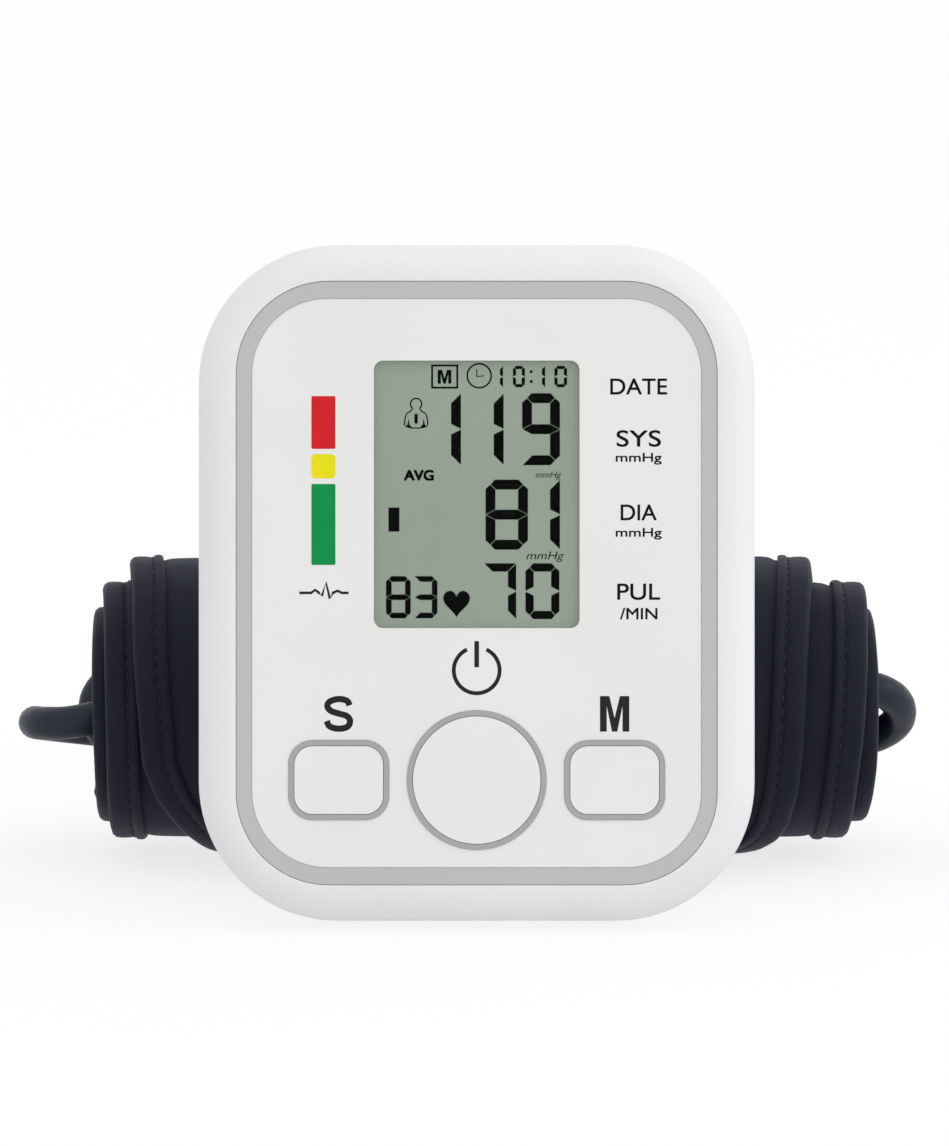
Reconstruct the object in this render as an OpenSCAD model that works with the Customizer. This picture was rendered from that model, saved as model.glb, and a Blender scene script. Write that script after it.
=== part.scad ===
// Upper arm blood pressure monitor with its rolled cuff. Millimetres, +Z up,
// +X to the right of the person who reads the display, -Y towards that person.

/* [Case] */
// Width of the monitor's case
face_w = 102; // [98:0.5:106]
// Height of the monitor's case, measured along its face
face_h = 124; // [120:0.5:128]
// Depth of the case, square to its face
case_depth = 46; // [46:0.5:50]
// Corner radius of the case seen from the front
corner_r = 25.5; // [24:0.5:27]
// Lean of the face, which is also the draft of the side walls, in degrees
lean = 8; // [7:0.5:9]
// Radius that rounds the front edge
front_round = 6; // [5:0.5:7]
// Radius that rounds the rear edge
rear_round = 4; // [3:0.5:4.5]
// Wall thickness of both covers
wall = 2.2; // [1.8:0.1:2.4]
// Depth of the seam between the front and rear covers
split_depth = 14; // [13.5:0.5:15]

/* [Face] */
// Width of the grey trim ring
ring_w = 88; // [87:0.5:89]
// Height of the grey trim ring
ring_h = 110.4; // [109:0.2:111]
// Width of the trim ring's band at the top and bottom
ring_band = 3.2; // [2.8:0.1:3.6]
// Width of the band at the ring's two sides
ring_side = 2.9; // [2.7:0.1:3.2]
// Outer corner radius of the trim ring
ring_r = 17; // [15:0.5:18]
// Width of the display window
window_w = 37.6; // [36:0.2:39]
// Height of the display window
window_h = 48.9; // [47:0.1:50]
// Height of the window's centre above the middle of the face
window_y = 16.2; // [15:0.1:17]

/* [Buttons] */
// Outer diameter of the start button's grey collar
start_d = 25.5; // [24:0.1:26]
// Outer width of the set and memory buttons' grey collars
key_w = 18.4; // [17:0.1:19]
// Outer height of the set and memory buttons' grey collars
key_h = 14.6; // [13:0.1:15]
// Distance from the middle of the face to a side button's middle
key_x = 25.2; // [24.8:0.1:26]
// Distance of the buttons below the middle of the face
key_y = 36; // [35:0.1:36.5]
// Width of each collar's visible line
collar_line = 1; // [0.8:0.1:1.3]

/* [Cuff] */
// Length of the rolled cuff's longest turns, along the roll
cuff_w = 153.2; // [148:0.2:156]
// Distance from the face's middle back to the roll's axis
roll_back = 77; // [76:0.5:80]
// Radius of the roll at the free end of the cloth
roll_r = 30.2; // [29.5:0.1:31]
// Radius of the hollow in the middle of the roll
hollow_r = 10.8; // [10.6:0.1:11.2]
// Distance from one turn to the next
pitch = 4.05; // [4:0.05:4.2]
// Distance that the innermost turn sags below the roll's axis
sag = 3.5; // [2:0.5:3.5]
// Thickness of the cuff's cloth
cloth = 2.6; // [2.2:0.1:2.6]

/* [Hose] */
// Outer diameter of the air hose
hose_d = 6.5; // [6:0.1:6.5]

/* [Hidden] */
$fn = 64;

foot_h = 1.5;
cuff_shift = 1.6;
pocket_z = -1.6;
floor_z = -3.4;
board_z = -10;
board_t = 1.6;
gap = 0.3;
key_gap = 0.1;

// Place of the face's middle, with the whole part centred on the origin
face_z = (face_h / 2 - front_round) * cos(lean) + front_round * (sin(lean) + 1) + foot_h;
front_reach = (face_h / 2 - front_round) * sin(lean) - front_round * cos(lean) + front_round;
tail_angle = 262;
back_reach = roll_r - pitch * tail_angle / 360;
face_y = (front_reach - roll_back - back_reach) / 2;
roll_y = face_y + roll_back;
roll_z = roll_r - 0.2;

white = [0.93, 0.93, 0.94];
panel_white = [0.92, 0.92, 0.91];
trim_grey = [0.74, 0.74, 0.75];
navy = [0.13, 0.14, 0.19];
board_green = [0.10, 0.36, 0.20];
steel = [0.72, 0.73, 0.75];

// Shared shapes --------------------------------------------------------------

module on_face() {
    translate([-cuff_shift, face_y, face_z]) rotate([90 - lean, 0, 0]) children();
}

module rounded(w, h, r) {
    square([w - 2 * r, h], center = true);
    square([w, h - 2 * r], center = true);
    for (x = [-1, 1], y = [-1, 1]) {
        translate([x * (w / 2 - r), y * (h / 2 - r)]) circle(r = r);
    }
}

module plate(w, h, r, low, high) {
    translate([0, 0, low]) linear_extrude(high - low) rounded(w, h, r);
}

module disc(r, low, high) {
    translate([0, 0, low]) cylinder(r = r, h = high - low);
}

module rod_x(r, from, to) {
    translate([from, 0, 0]) rotate([0, 90, 0]) cylinder(r = r, h = to - from);
}

module at_keys() {
    for (s = [-1, 1]) translate([s * key_x, -key_y, 0]) children();
}

case_screws_at = [[-35, 38], [35, 38], [-31, -47], [31, -47]];

module at_case_screws() {
    for (at = case_screws_at) translate([at.x, at.y, 0]) children();
}

module at_board_screws() {
    for (x = [-28, 28], y = [-20, 46]) translate([x, y, 0]) children();
}

// A tube through points, each ring square to the way that the route runs
function unit(v) = v / norm(v);
function route_way(p, i) = unit(p[min(i + 1, len(p) - 1)] - p[max(i - 1, 0)]);
function next_side(side, way) = unit(side - (side * way) * way);
function route_sides(p, i, last) =
    let(side = next_side(last, route_way(p, i)))
    i == len(p) - 1 ? [side] : concat([side], route_sides(p, i + 1, side));
function tube_ring(centre, way, side, r, n) =
    let(up = cross(way, side))
    [for (k = [0:n - 1]) centre + r * (cos(360 * k / n) * side + sin(360 * k / n) * up)];

module tube(p, r, n, first_side = [0.1, 0.2, 1]) {
    sides = route_sides(p, 0, first_side);
    rings = [for (i = [0:len(p) - 1]) each tube_ring(p[i], route_way(p, i), sides[i], r, n)];
    ends = [[for (k = [n - 1:-1:0]) k], [for (k = [0:n - 1]) (len(p) - 1) * n + k]];
    walls = [for (i = [0:len(p) - 2], k = [0:n - 1])
        let(a = i * n + k, b = i * n + (k + 1) % n)
        each [[a, b, b + n], [a, b + n, a + n]]];
    polyhedron(points = rings, faces = concat(ends, walls));
}

// A smooth route through hand-placed points, two rings to each stretch
function between(a, b, c, d, t) =
    0.5 * (2 * b + (c - a) * t + (2 * a - 5 * b + 4 * c - d) * t * t
        + (3 * b - a - 3 * c + d) * t * t * t);
function smooth(p, steps) = concat(
    [for (i = [0:len(p) - 2], s = [0:steps - 1])
        between(p[max(i - 1, 0)], p[i], p[i + 1], p[min(i + 2, len(p) - 1)], s / steps)],
    [p[len(p) - 1]]);

// Case -----------------------------------------------------------------------

// The side wall's outline, moved in by t: two rounds joined by a drafted wall
function wall_way() = [cos(lean), -sin(lean)];
function front_centre() = [corner_r - front_round, -front_round];
function rear_centre() =
    let(y = rear_round - case_depth)
    [(front_centre() * wall_way() + front_round - rear_round + y * sin(lean)) / cos(lean), y];

module wall_section(t) {
    f = front_centre();
    r = rear_centre();
    polygon([
        [0, -t],
        [f.x, -t],
        f + (front_round - t) * wall_way(),
        r + (rear_round - t) * wall_way(),
        [r.x, t - case_depth],
        [0, t - case_depth]
    ]);
    translate(f) circle(r = front_round - t);
    translate(r) circle(r = rear_round - t);
}

module case_solid(t) {
    hw = face_w / 2 - corner_r;
    hh = face_h / 2 - corner_r;
    for (i = [0:3]) {
        sx = (i == 0 || i == 3) ? 1 : -1;
        sy = i < 2 ? 1 : -1;
        translate([sx * hw, sy * hh, 0]) rotate(i * 90) rotate_extrude(angle = 90) wall_section(t);
    }
    for (s = [0, 1]) {
        mirror([s, 0, 0]) translate([hw, hh, 0]) rotate([90, 0, 0]) linear_extrude(2 * hh) wall_section(t);
        mirror([0, s, 0]) rotate(90) translate([hh, hw, 0]) rotate([90, 0, 0])
            linear_extrude(2 * hw) wall_section(t);
    }
    translate([-hw, -hh, t - case_depth]) cube([2 * hw, 2 * hh, case_depth - 2 * t]);
}

module slab(low, high) {
    translate([-face_w, -face_h, low]) cube([2 * face_w, 2 * face_h, high - low]);
}

boss_r = 3.2;
front_boss_end = 0.1 - split_depth;
seam_groove = 0.5;

module front_cover() color(white) on_face() {
    difference() {
        union() {
            difference() {
                intersection() {
                    case_solid(0);
                    slab(-split_depth, 1);
                }
                case_solid(wall);
                plate(ring_w, ring_h, ring_r, pocket_z, 1);
            }
            plate(ring_w + 5, ring_h + 5, ring_r + 2.5, floor_z, pocket_z);
            at_case_screws() disc(boss_r, front_boss_end, floor_z + 0.1);
            at_board_screws() disc(2.6, board_z, floor_z + 0.1);
        }
        translate([0, window_y, 0]) plate(46.4, 55.4, 2, floor_z - 1, 1);
        translate([0, -key_y, 0]) disc(start_d / 2, floor_z - 1, 1);
        at_keys() plate(key_w, key_h, 4.4, floor_z - 1, 1);
        at_case_screws() disc(1.05, front_boss_end - 1, -6);
        at_board_screws() disc(0.95, board_z - 1, -4.4);
    }
}

// The battery bay lies in the upper half of the back, its cells across the case
bay_w = 54;
bay_y0 = 5.6;
bay_y1 = 49;
bay_floor = -33;
door_w = 57;
door_top = 50.4;
hinge_y = 5.6;
hinge_z = 1.4 - case_depth;
latch_h = 1.3;
side_y = -6;
socket_y = 14;
side_z = -24;
side_x = 49.4;

module rear_cover() color(white) on_face() {
    rear_in = wall - case_depth;
    difference() {
        union() {
            difference() {
                intersection() {
                    case_solid(0);
                    slab(-case_depth - 1, -split_depth);
                }
                case_solid(wall);
            }
            translate([-bay_w / 2 - 1.4, bay_y0 - 3.4, rear_in - 0.1])
                cube([bay_w + 2.8, bay_y1 - bay_y0 + 4.8, bay_floor + 1.4 - rear_in + 0.1]);
            at_case_screws() disc(boss_r + 0.6, rear_in - 0.1, -split_depth - gap);
            for (x = [-20, -13]) {
                translate([x, pump_y - 14, rear_in - 0.1]) cube([2, 28, 11]);
            }
        }
        difference() {
            slab(-split_depth - seam_groove, -split_depth + 1);
            case_solid(seam_groove);
        }
        translate([-bay_w / 2, bay_y0 + 0.8, -case_depth - 1])
            cube([bay_w, bay_y1 - bay_y0 - 0.8, case_depth + 1 + bay_floor]);
        translate([-door_w / 2 - gap, hinge_y, -case_depth - 1])
            cube([door_w + 2 * gap, door_top + gap - hinge_y, 3.1]);
        translate([0, hinge_y, hinge_z]) rod_x(1.7, -door_w / 2 - gap, door_w / 2 + gap);
        translate([-door_w / 2 - gap, hinge_y - 1.7, -case_depth - 1])
            cube([door_w + 2 * gap, 2, 2.4]);
        at_case_screws() disc(2.7, -case_depth - 1, side_z);
        at_case_screws() disc(1.3, side_z - 1, -split_depth + 1);
        translate([0, side_y, side_z]) rod_x(5.1, -60, -40);
        translate([0, socket_y, side_z]) rod_x(5.1, 40, 60);
        translate([0, pump_y, pump_z]) rod_x(14, -30, 0);
    }
}

// Face -----------------------------------------------------------------------

panel_w = ring_w - 2 * ring_side;
panel_h = ring_h - 2 * ring_band;

module trim_ring() color(trim_grey) on_face() difference() {
    plate(ring_w - 0.2, ring_h - 0.2, ring_r - 0.1, pocket_z, -0.15);
    plate(panel_w, panel_h, ring_r - ring_band, pocket_z - 1, 1);
}

module face_panel() color(panel_white) on_face() difference() {
    plate(panel_w - 0.1, panel_h - 0.1, ring_r - ring_band - 0.05, pocket_z, -0.3);
    translate([0, window_y, 0]) plate(window_w, window_h, 1.7, pocket_z - 1, 1);
    translate([0, -key_y, 0]) disc(start_d / 2 + 0.02, pocket_z - 1, 1);
    at_keys() plate(key_w + 0.04, key_h + 0.04, 4.42, pocket_z - 1, 1);
}

module display_window() color([0.8, 0.85, 0.82, 0.35]) on_face() translate([0, window_y, 0])
    plate(window_w - 0.1, window_h - 0.1, 1.65, pocket_z, -0.32);

module lcd_glass() color([0.56, 0.62, 0.55]) on_face() translate([0, window_y, 0]) {
    plate(45.6, 54.6, 0.8, -2.8, pocket_z - 0.05);
    plate(43, 50, 0.8, -3.9, -2.8);
}

module lcd_frame() color([0.85, 0.85, 0.83]) on_face() translate([0, window_y, 0]) difference() {
    plate(48, 58, 1.5, board_z, -4);
    plate(40, 51.6, 1, board_z - 1, 1);
}

module lcd_connectors() color([0.25, 0.25, 0.27]) on_face() {
    for (s = [-1, 1]) {
        translate([-18, window_y + s * 24.2 - 1, board_z]) cube([36, 2, -4 - board_z]);
    }
}

// Buttons --------------------------------------------------------------------

cap_back = -4.6;
stem_top = -6;

module start_collar() color(trim_grey) on_face() translate([0, -key_y, 0]) difference() {
    disc(start_d / 2 - 0.02, floor_z, -0.1);
    disc(start_d / 2 - collar_line, floor_z - 1, 1);
}

module key_collar(side) color(trim_grey) on_face() translate([side * key_x, -key_y, 0]) difference() {
    plate(key_w - 0.04, key_h - 0.04, 4.38, floor_z, -0.1);
    plate(key_w - 2 * collar_line, key_h - 2 * collar_line, 4.4 - collar_line, floor_z - 1, 1);
}

module start_button() color(panel_white) on_face() translate([0, -key_y, 0]) difference() {
    r = start_d / 2 - collar_line - key_gap;
    union() {
        disc(r, cap_back, -0.1);
        disc(r + 1.4, cap_back - 1, floor_z - gap);
        disc(2, stem_top, cap_back);
    }
    disc(r - 1.4, cap_back - 2, -1.5);
    disc(20, stem_top - 3, stem_top);
}

module side_button(side) color(panel_white) on_face() translate([side * key_x, -key_y, 0]) {
    w = key_w - 2 * collar_line - 2 * key_gap;
    h = key_h - 2 * collar_line - 2 * key_gap;
    r = 4.4 - collar_line - key_gap;
    difference() {
        union() {
            plate(w, h, r, cap_back, -0.1);
            plate(w + 2.8, h + 2.8, r + 1.4, cap_back - 1, floor_z - gap);
        }
        plate(w - 2.8, h - 2.8, r - 1.4, cap_back - 2, -1.5);
    }
    disc(2, stem_top, -1.4);
}

module switch_bodies() color([0.2, 0.2, 0.22]) on_face() {
    for (x = [-key_x, 0, key_x]) {
        translate([x - 3, -key_y - 3, board_z]) difference() {
            cube([6, 6, 3]);
            translate([3, 3, 1.4]) cylinder(r = 1.9, h = 4);
        }
    }
}

module switch_stem(x) color([0.15, 0.15, 0.16]) on_face() translate([x, -key_y, 0])
    disc(1.6, board_z + 2.2, stem_top);

// Electronics ----------------------------------------------------------------

board_back = board_z - board_t;
board_w = 62.4;
board_y0 = -43.4;
board_y1 = 49;

module main_board() color(board_green) on_face() {
    translate([0, 0, board_back]) linear_extrude(board_t) difference() {
        translate([-board_w / 2, board_y0]) square([board_w, board_y1 - board_y0]);
        at_board_screws() circle(r = 1.3);
    }
}

chips = [
    [-10, 36, 12, 12, 1.8],
    [12, 38, 9, 7, 1.6],
    [14, 24, 5, 8, 1.4],
    [-22, -2, 6, 5, 1.5],
    [-24, 32, 4, 9, 2.6],
    [22, 8, 6, 6, 2.2],
    [2, 8, 5, 4, 1.5]
];

module board_chips() color([0.14, 0.14, 0.15]) on_face() {
    for (c = chips) {
        translate([c[0] - c[2] / 2, c[1] - c[3] / 2, board_back - c[4]]) cube([c[2], c[3], c[4]]);
    }
}

module screw(head_r, head_h, shank_r, length) {
    disc(head_r, -head_h, 0);
    disc(shank_r, -0.1, length);
}

module board_screws() color(steel) on_face() at_board_screws() translate([0, 0, board_back]) {
    screw(2.1, 1.3, 0.9, 6.4);
}

module case_screws() color(steel) on_face() at_case_screws() translate([0, 0, side_z - 0.02]) {
    screw(2.4, 1.6, 1, 17);
}

module pressure_sensor() color([0.8, 0.8, 0.78]) on_face() translate([-24, 14, board_back]) {
    translate([-4, -4, -4]) cube([8, 8, 4]);
    disc(1.5, -7.5, -3.9);
}

module buzzer() color([0.12, 0.12, 0.12]) on_face() translate([16, -6, board_back]) difference() {
    disc(6, -6, 0);
    disc(1, -7, -4);
}

module wire(p) tube(smooth(p, 2), 0.55, 6);

module wires() color([0.75, 0.1, 0.1]) on_face() {
    wire([[-24, -41, -12.3], [-28, -41, -14.5], [-33.5, -39, -19], [-34, -36.5, -25],
        [-33, -35.2, -28.4], [-30.6, -35, -29]]);
    wire([[-24, -14, -12.3], [-28, -14, -14.5], [-33.5, -16, -19], [-34, -19.5, -25],
        [-33, -20.8, -28.4], [-30.6, -21, -29]]);
    wire([[28, 22, -12.3], [32, 24, -15], [33, 24, -24], [31.5, 26, -33], [29.3, 28, -36]]);
    wire([[28, 26, -12.3], [33.5, 29, -15], [34.5, 30, -25], [32.4, 33, -34], [29.3, 36, -37]]);
    wire([[8, 32, -12.3], [10, 33, -15], [13, 31, -18], [15, 27.5, -20], [15, 25.7, -21]]);
    wire([[5, 30, -12.3], [6, 35, -16], [10, 34, -19], [11, 29, -20.5], [12, 25.7, -22]]);
}

// Pump -----------------------------------------------------------------------

pump_y = -28;
pump_z = -29;
can_r = 12.2;
can_x0 = -30;
can_x1 = -1;
shaft_r = 1;

module on_pump() on_face() translate([0, pump_y, pump_z]) children();

module pump_motor_can() color(steel) on_pump() difference() {
    union() {
        rod_x(can_r, can_x0, can_x1);
        rod_x(3, can_x0 - 1.2, can_x0 + 0.1);
    }
    rod_x(can_r - 1, can_x0 + 1, can_x1 - 1);
    rod_x(shaft_r + 0.06, can_x0 - 2, can_x1 + 1);
}

module motor_magnets() color([0.3, 0.3, 0.32]) on_pump() difference() {
    rod_x(can_r - 1.05, -26, -6);
    rod_x(9.2, -27, -5);
    for (s = [-1, 1]) translate([-16, 0, s * 12]) cube([30, 9, 24 - 6], center = true);
}

module motor_armature() color([0.72, 0.42, 0.22]) on_pump() difference() {
    union() {
        rod_x(8.7, -24, -8);
        rod_x(3.2, -28, -24.02);
    }
    rod_x(shaft_r + 0.02, -40, 0);
    for (a = [0, 120, 240]) rotate([a, 0, 0]) translate([-16, 0, 7]) cube([20, 1.6, 6], center = true);
}

module pump_shaft() color(steel) on_pump() rod_x(shaft_r, can_x0 - 1.6, 6);

module pump_crank() color([0.85, 0.83, 0.75]) on_pump() difference() {
    union() {
        rod_x(4.5, 2, 6.5);
        translate([0, 0, 2.8]) rod_x(0.9, 6.4, 10);
    }
    rod_x(shaft_r + 0.02, 1, 6.1);
}

module pump_head() color([0.2, 0.2, 0.22]) on_pump() difference() {
    rod_x(13.2, can_x1 + 0.05, 13);
    rod_x(11.4, 1, 14);
    rod_x(3.2, can_x1 - 1, 2);
}

module pump_diaphragm() color([0.6, 0.55, 0.45]) on_pump() {
    rod_x(13.2, 13.05, 15);
    for (a = [60, 180, 300]) rotate([a, 0, 0]) translate([0, 0, 6.4]) rod_x(3, 10.8, 13.1);
}

module pump_valve_cap() color([0.2, 0.2, 0.22]) on_pump() difference() {
    union() {
        rod_x(13.2, 15.05, 25);
        rod_x(1.9, 24.9, 33);
    }
    rod_x(0.9, 26, 34);
}

module pump_cushion() color([0.1, 0.1, 0.1]) on_pump() difference() {
    rod_x(13.8, -22, -9);
    rod_x(can_r + 0.05, -23, -8);
}

// Release valve and air paths --------------------------------------------------

valve_y = 20;
valve_z = -21.5;

module release_valve() color([0.75, 0.75, 0.72]) on_face() translate([0, valve_y, valve_z]) difference() {
    union() {
        translate([8, -5.5, -5.5]) cube([15, 11, 11]);
        rod_x(1.9, 4, 8.1);
    }
    rod_x(1.9, 10, 24);
    rod_x(0.9, 3, 11);
}

module valve_plunger() color(steel) on_face() translate([0, valve_y, valve_z]) rod_x(1.6, 10.3, 24.5);

manifold_y = -6;
manifold_z = -22;

module air_manifold() color([0.85, 0.85, 0.8]) on_face() translate([0, manifold_y, manifold_z]) {
    rod_x(2.6, -16, 4);
    rod_x(1.9, -20, -15.9);
    rod_x(1.9, 3.9, 8);
    for (x = [-12, -3]) translate([x, 0, 0]) rotate([-90, 0, 0]) cylinder(r = 1.9, h = 5);
}

module inner_tube(p) color([0.75, 0.75, 0.7]) on_face() tube(smooth(p, 2), 2, 10);

module pump_tube() inner_tube([
    [33.1, -28, -29], [37, -28, -29], [40, -25, -28.5], [41, -19, -27],
    [39, -11, -24.5], [33, -7, -22.7], [24, -6, -22], [16, -6, -22], [8.1, -6, -22]
]);

module valve_tube() inner_tube([
    [-3, -0.9, -22], [-3, 4, -22], [-4, 10, -22], [-5.5, 16, -21.7], [-3.5, 19.6, -21.5],
    [0, 20, -21.5], [3.9, 20, -21.5]
]);

module sensor_tube() inner_tube([
    [-12, -0.9, -22], [-12, 3, -22.3], [-13.5, 8, -23.5], [-17, 12, -25.5],
    [-21.5, 14, -25.6], [-24, 14, -23.4], [-24, 14, -21], [-24, 14, -19.2]
]);

module jack_tube() color([0.75, 0.75, 0.7]) on_face() translate([0, side_y, side_z]) difference() {
    rod_x(2, -35.9, -20.1);
    rod_x(0.9, -50, 0);
}

jack_bore = 2.6;
jack_depth = 8;

module air_jack() color([0.55, 0.56, 0.58]) on_face() translate([0, side_y, side_z]) difference() {
    union() {
        rod_x(5, -side_x, -44);
        rod_x(6.8, -44.9, -43.4);
        rod_x(4, -43.5, -40);
        rod_x(1.9, -40.1, -36);
    }
    rod_x(jack_bore, -60, jack_depth - side_x);
    rod_x(0.9, -60, -30);
}

module power_socket() color([0.12, 0.12, 0.13]) on_face() translate([0, socket_y, side_z]) {
    difference() {
        union() {
            rod_x(5, 44, side_x);
            rod_x(6.8, 43.4, 44.9);
            rod_x(4.4, 36, 43.5);
        }
        rod_x(2.75, 40, 60);
    }
    rod_x(0.8, 39, 48);
}

// Batteries --------------------------------------------------------------------

cell_r = 5.2;
cell_pitch = 10.7;
cell_z = bay_floor - cell_r - 0.1;
function cell_y(i) = (bay_y0 + 0.8 + bay_y1) / 2 + (i - 2.5) * cell_pitch;
function cell_turn(i) = i % 2 == 0 ? 180 : 0;

module at_cell(i) on_face() translate([0, cell_y(i), cell_z]) rotate(cell_turn(i)) children();

module battery(i) color([0.75, 0.45, 0.15]) at_cell(i) {
    rod_x(cell_r, -19, 24.6);
    rod_x(1.9, 24.5, 25.6);
}

module battery_springs() color(steel) for (i = [1:4]) at_cell(i) {
    tube([for (k = [0:48]) let(a = k * 30, r = 3.6 - k * 0.03)
        [-25.9 + k * 0.135, r * cos(a), r * sin(a)]], 0.35, 6, [0, 1, 0.3]);
}

module battery_contacts() color(steel) for (i = [1:4]) at_cell(i) {
    for (x = [-26.9, 25.7]) translate([x, -4, -4]) cube([0.6, 8, 8]);
}

module battery_door() color(white) on_face() {
    difference() {
        union() {
            translate([-door_w / 2, hinge_y, -case_depth]) cube([door_w, door_top - hinge_y, 1.8]);
            translate([0, hinge_y, hinge_z]) rod_x(1.4, -door_w / 2, door_w / 2);
            translate([-6, 46.6, -case_depth + 1.7]) cube([12, 1.2, latch_h]);
        }
        for (i = [0:4]) {
            translate([0, 38 + 2 * i, -case_depth]) rod_x(0.5, -9, 9);
        }
    }
}

module rubber_feet() color([0.3, 0.3, 0.32]) {
    for (x = [-22, 22], y = [11, 29.3]) {
        translate([x - cuff_shift, face_y + y, 0]) cylinder(r = 4.5, h = foot_h);
    }
}

// Cuff -------------------------------------------------------------------------

// t counts turns from the inner end; a turn's centre drops towards the middle
mid_r0 = hollow_r + 1.5;
turns = (roll_r - 1.5 - mid_r0) / pitch;
steps_per_turn = 24;
function roll_point(t, off) =
    let(a = tail_angle - 360 * (turns - t), r = mid_r0 + pitch * t + off)
    [r * cos(a), r * sin(a) - sag * (1 - t / turns)];

// The cloth band's outline between two turn counts, thick from one offset to another.
// All bands bend at the same steps, counted back from the free end, so they nest.
function step_at(k) = turns - k / steps_per_turn;
function band_side(t0, t1, off) =
    let(
        from = ceil((turns - t0) * steps_per_turn - 0.01) - 1,
        to = floor((turns - t1) * steps_per_turn + 0.01) + 1
    )
    [roll_point(t0, off), for (k = [from:-1:to]) roll_point(step_at(k), off), roll_point(t1, off)];
function reversed(p) = [for (k = [len(p) - 1:-1:0]) p[k]];

module band(t0, t1, in_off, out_off, x0, x1) {
    translate([x0, roll_y, roll_z]) rotate([90, 0, 90]) linear_extrude(x1 - x0)
        polygon(concat(band_side(t0, t1, out_off), reversed(band_side(t0, t1, in_off))));
}

// Each stretch: first turn count, last turn count, left end, right end
half = cuff_w / 2;
inner_end = step_at(72);
middle_end = step_at(46);
outer_end = step_at(22);
corner_at = step_at(3);
corner_cut = 12;
stretches = [
    [0, inner_end, -half + 15, half - 15],
    [inner_end, middle_end, -half, half],
    [middle_end, outer_end, -half + 3, half - 2.2],
    [outer_end, corner_at, -half + 8.5, half - 13.8]
];
tail = stretches[3];
tape = 6;
tape_off = 1.5;
hem = 0.5;
tape_break = 0.01;

module cuff_cover() color(navy) difference() {
    union() {
        for (s = stretches) band(s[0], s[1], -cloth / 2, cloth / 2, s[2] + hem, s[3] - hem);
        band(corner_at, turns, -cloth / 2, cloth / 2, tail[2] + corner_cut, tail[3] - corner_cut);
    }
    band(0.3, 2.2, -0.7, 0.7, -bladder_w / 2 - 1, bladder_w / 2 + 1);
}

bladder_w = 112;

module cuff_bladder() color([0.2, 0.2, 0.22])
    band(0.34, 2.16, -0.5, 0.5, -bladder_w / 2, bladder_w / 2);

module cuff_bindings() color(navy) for (s = stretches) {
    first = s[0] + tape_break;
    last = s[1] - tape_break;
    difference() {
        union() {
            band(first, last, -tape_off, tape_off, s[2], s[2] + tape);
            band(first, last, -tape_off, tape_off, s[3] - tape, s[3]);
        }
        band(s[0], s[1], -cloth / 2, cloth / 2, s[2] + hem, s[3] - hem);
    }
}

hook_t = 0.5;

module hook_patch() color([0.08, 0.08, 0.1])
    band(step_at(12), step_at(1), -cloth / 2 - hook_t, -cloth / 2 - 0.02, -52, 46);

// The ring that the tail passes through: two bars joined by bends at both ends
ring_wire = 1.1;
ring_at = 9.6;
ring_end = 58;

module cuff_ring() color(steel) translate([0, roll_y, roll_z - sag]) {
    for (a = [0, 90]) rotate([a, 0, 0]) translate([0, ring_at, 0]) rod_x(ring_wire, -ring_end, ring_end);
    for (s = [-1, 1]) translate([s * ring_end, 0, 0]) rotate([90, 0, 90])
        rotate_extrude(angle = 90) translate([ring_at, 0]) circle(r = ring_wire);
    for (s = [-1, 1], a = [0, 90]) {
        rotate([a, 0, 0]) translate([s * ring_end, ring_at, 0]) sphere(r = ring_wire);
    }
}

// Hose -------------------------------------------------------------------------

// The hose lies folded in the roll's hollow. x runs along the roll; y and z are
// measured from the middle of the hollow.
route = [
    [34, 3.6, -3.6], [20, 3.6, -3.6], [0, 3.6, -3.6], [-24, 3.6, -3.6], [-48, 3.6, -3.6],
    [-60, 4.2, -4], [-70, 7.5, -4.4], [-79, 9.5, -3.8], [-85, 7, -2.7], [-87.7, 0.5, -1.2],
    [-85.5, -6, -0.3], [-79.5, -9.3, 0.5], [-70, -7.6, 2.4], [-60, -4.4, 3.6], [-48, -3.6, 3.6],
    [-24, -3.6, 3.6], [0, -3.6, 3.6], [24, -3.6, 3.6], [48, -3.6, 3.6], [60, -5, 4.4],
    [68, -7.6, 6.4], [75, -7.4, 6.8], [80, -3.2, 3.6], [80.6, 3, -1.4], [76, 7.6, -5.2],
    [68, 7.6, -5.4], [60, 4, -4.6], [50, -1.6, -3.8], [40, -3.6, -3.6], [20, -3.6, -3.6],
    [-4, -3.6, -3.6], [-28, -3.6, -3.6], [-48, -3.6, -3.6], [-58, -4.4, -4], [-67, -6.4, -4],
    [-74, -4.4, -1.4], [-76.2, 0.6, 2.6], [-71.6, 4.8, 5.4], [-64, 3.7, 3.8], [-54, 3.6, 3.6],
    [-28, 3.6, 3.6], [0, 3.6, 3.6], [20, 3.6, 3.6], [34, 3.6, 3.6]
];
hose_start = route[0];
hose_end = route[len(route) - 1];

port_r = 3.5;

module in_hollow() translate([0, roll_y, roll_z - sag]) children();

module air_hose() color([0.17, 0.19, 0.26]) in_hollow() tube(smooth(route, 2), hose_d / 2, 8, [0, 1, 0]);

module hose_port() color([0.12, 0.12, 0.14]) in_hollow() {
    translate([0, hose_start.y, hose_start.z]) {
        rod_x(port_r, hose_start.x + 0.02, hose_start.x + 10);
        rotate([-45, 0, 0]) translate([hose_start.x + 6, 1, 0]) rotate([-90, 0, 0])
            cylinder(r = port_r - 0.1, h = 4.2);
    }
}

module air_plug() color([0.62, 0.63, 0.65]) in_hollow() translate([0, hose_end.y, hose_end.z]) {
    rod_x(port_r - 0.1, hose_end.x + 0.02, hose_end.x + 12);
    rod_x(port_r, hose_end.x + 3, hose_end.x + 5);
    rod_x(port_r, hose_end.x + 8, hose_end.x + 10);
    rod_x(jack_bore - 0.12, hose_end.x + 11.9, hose_end.x + 19.5);
}

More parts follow.
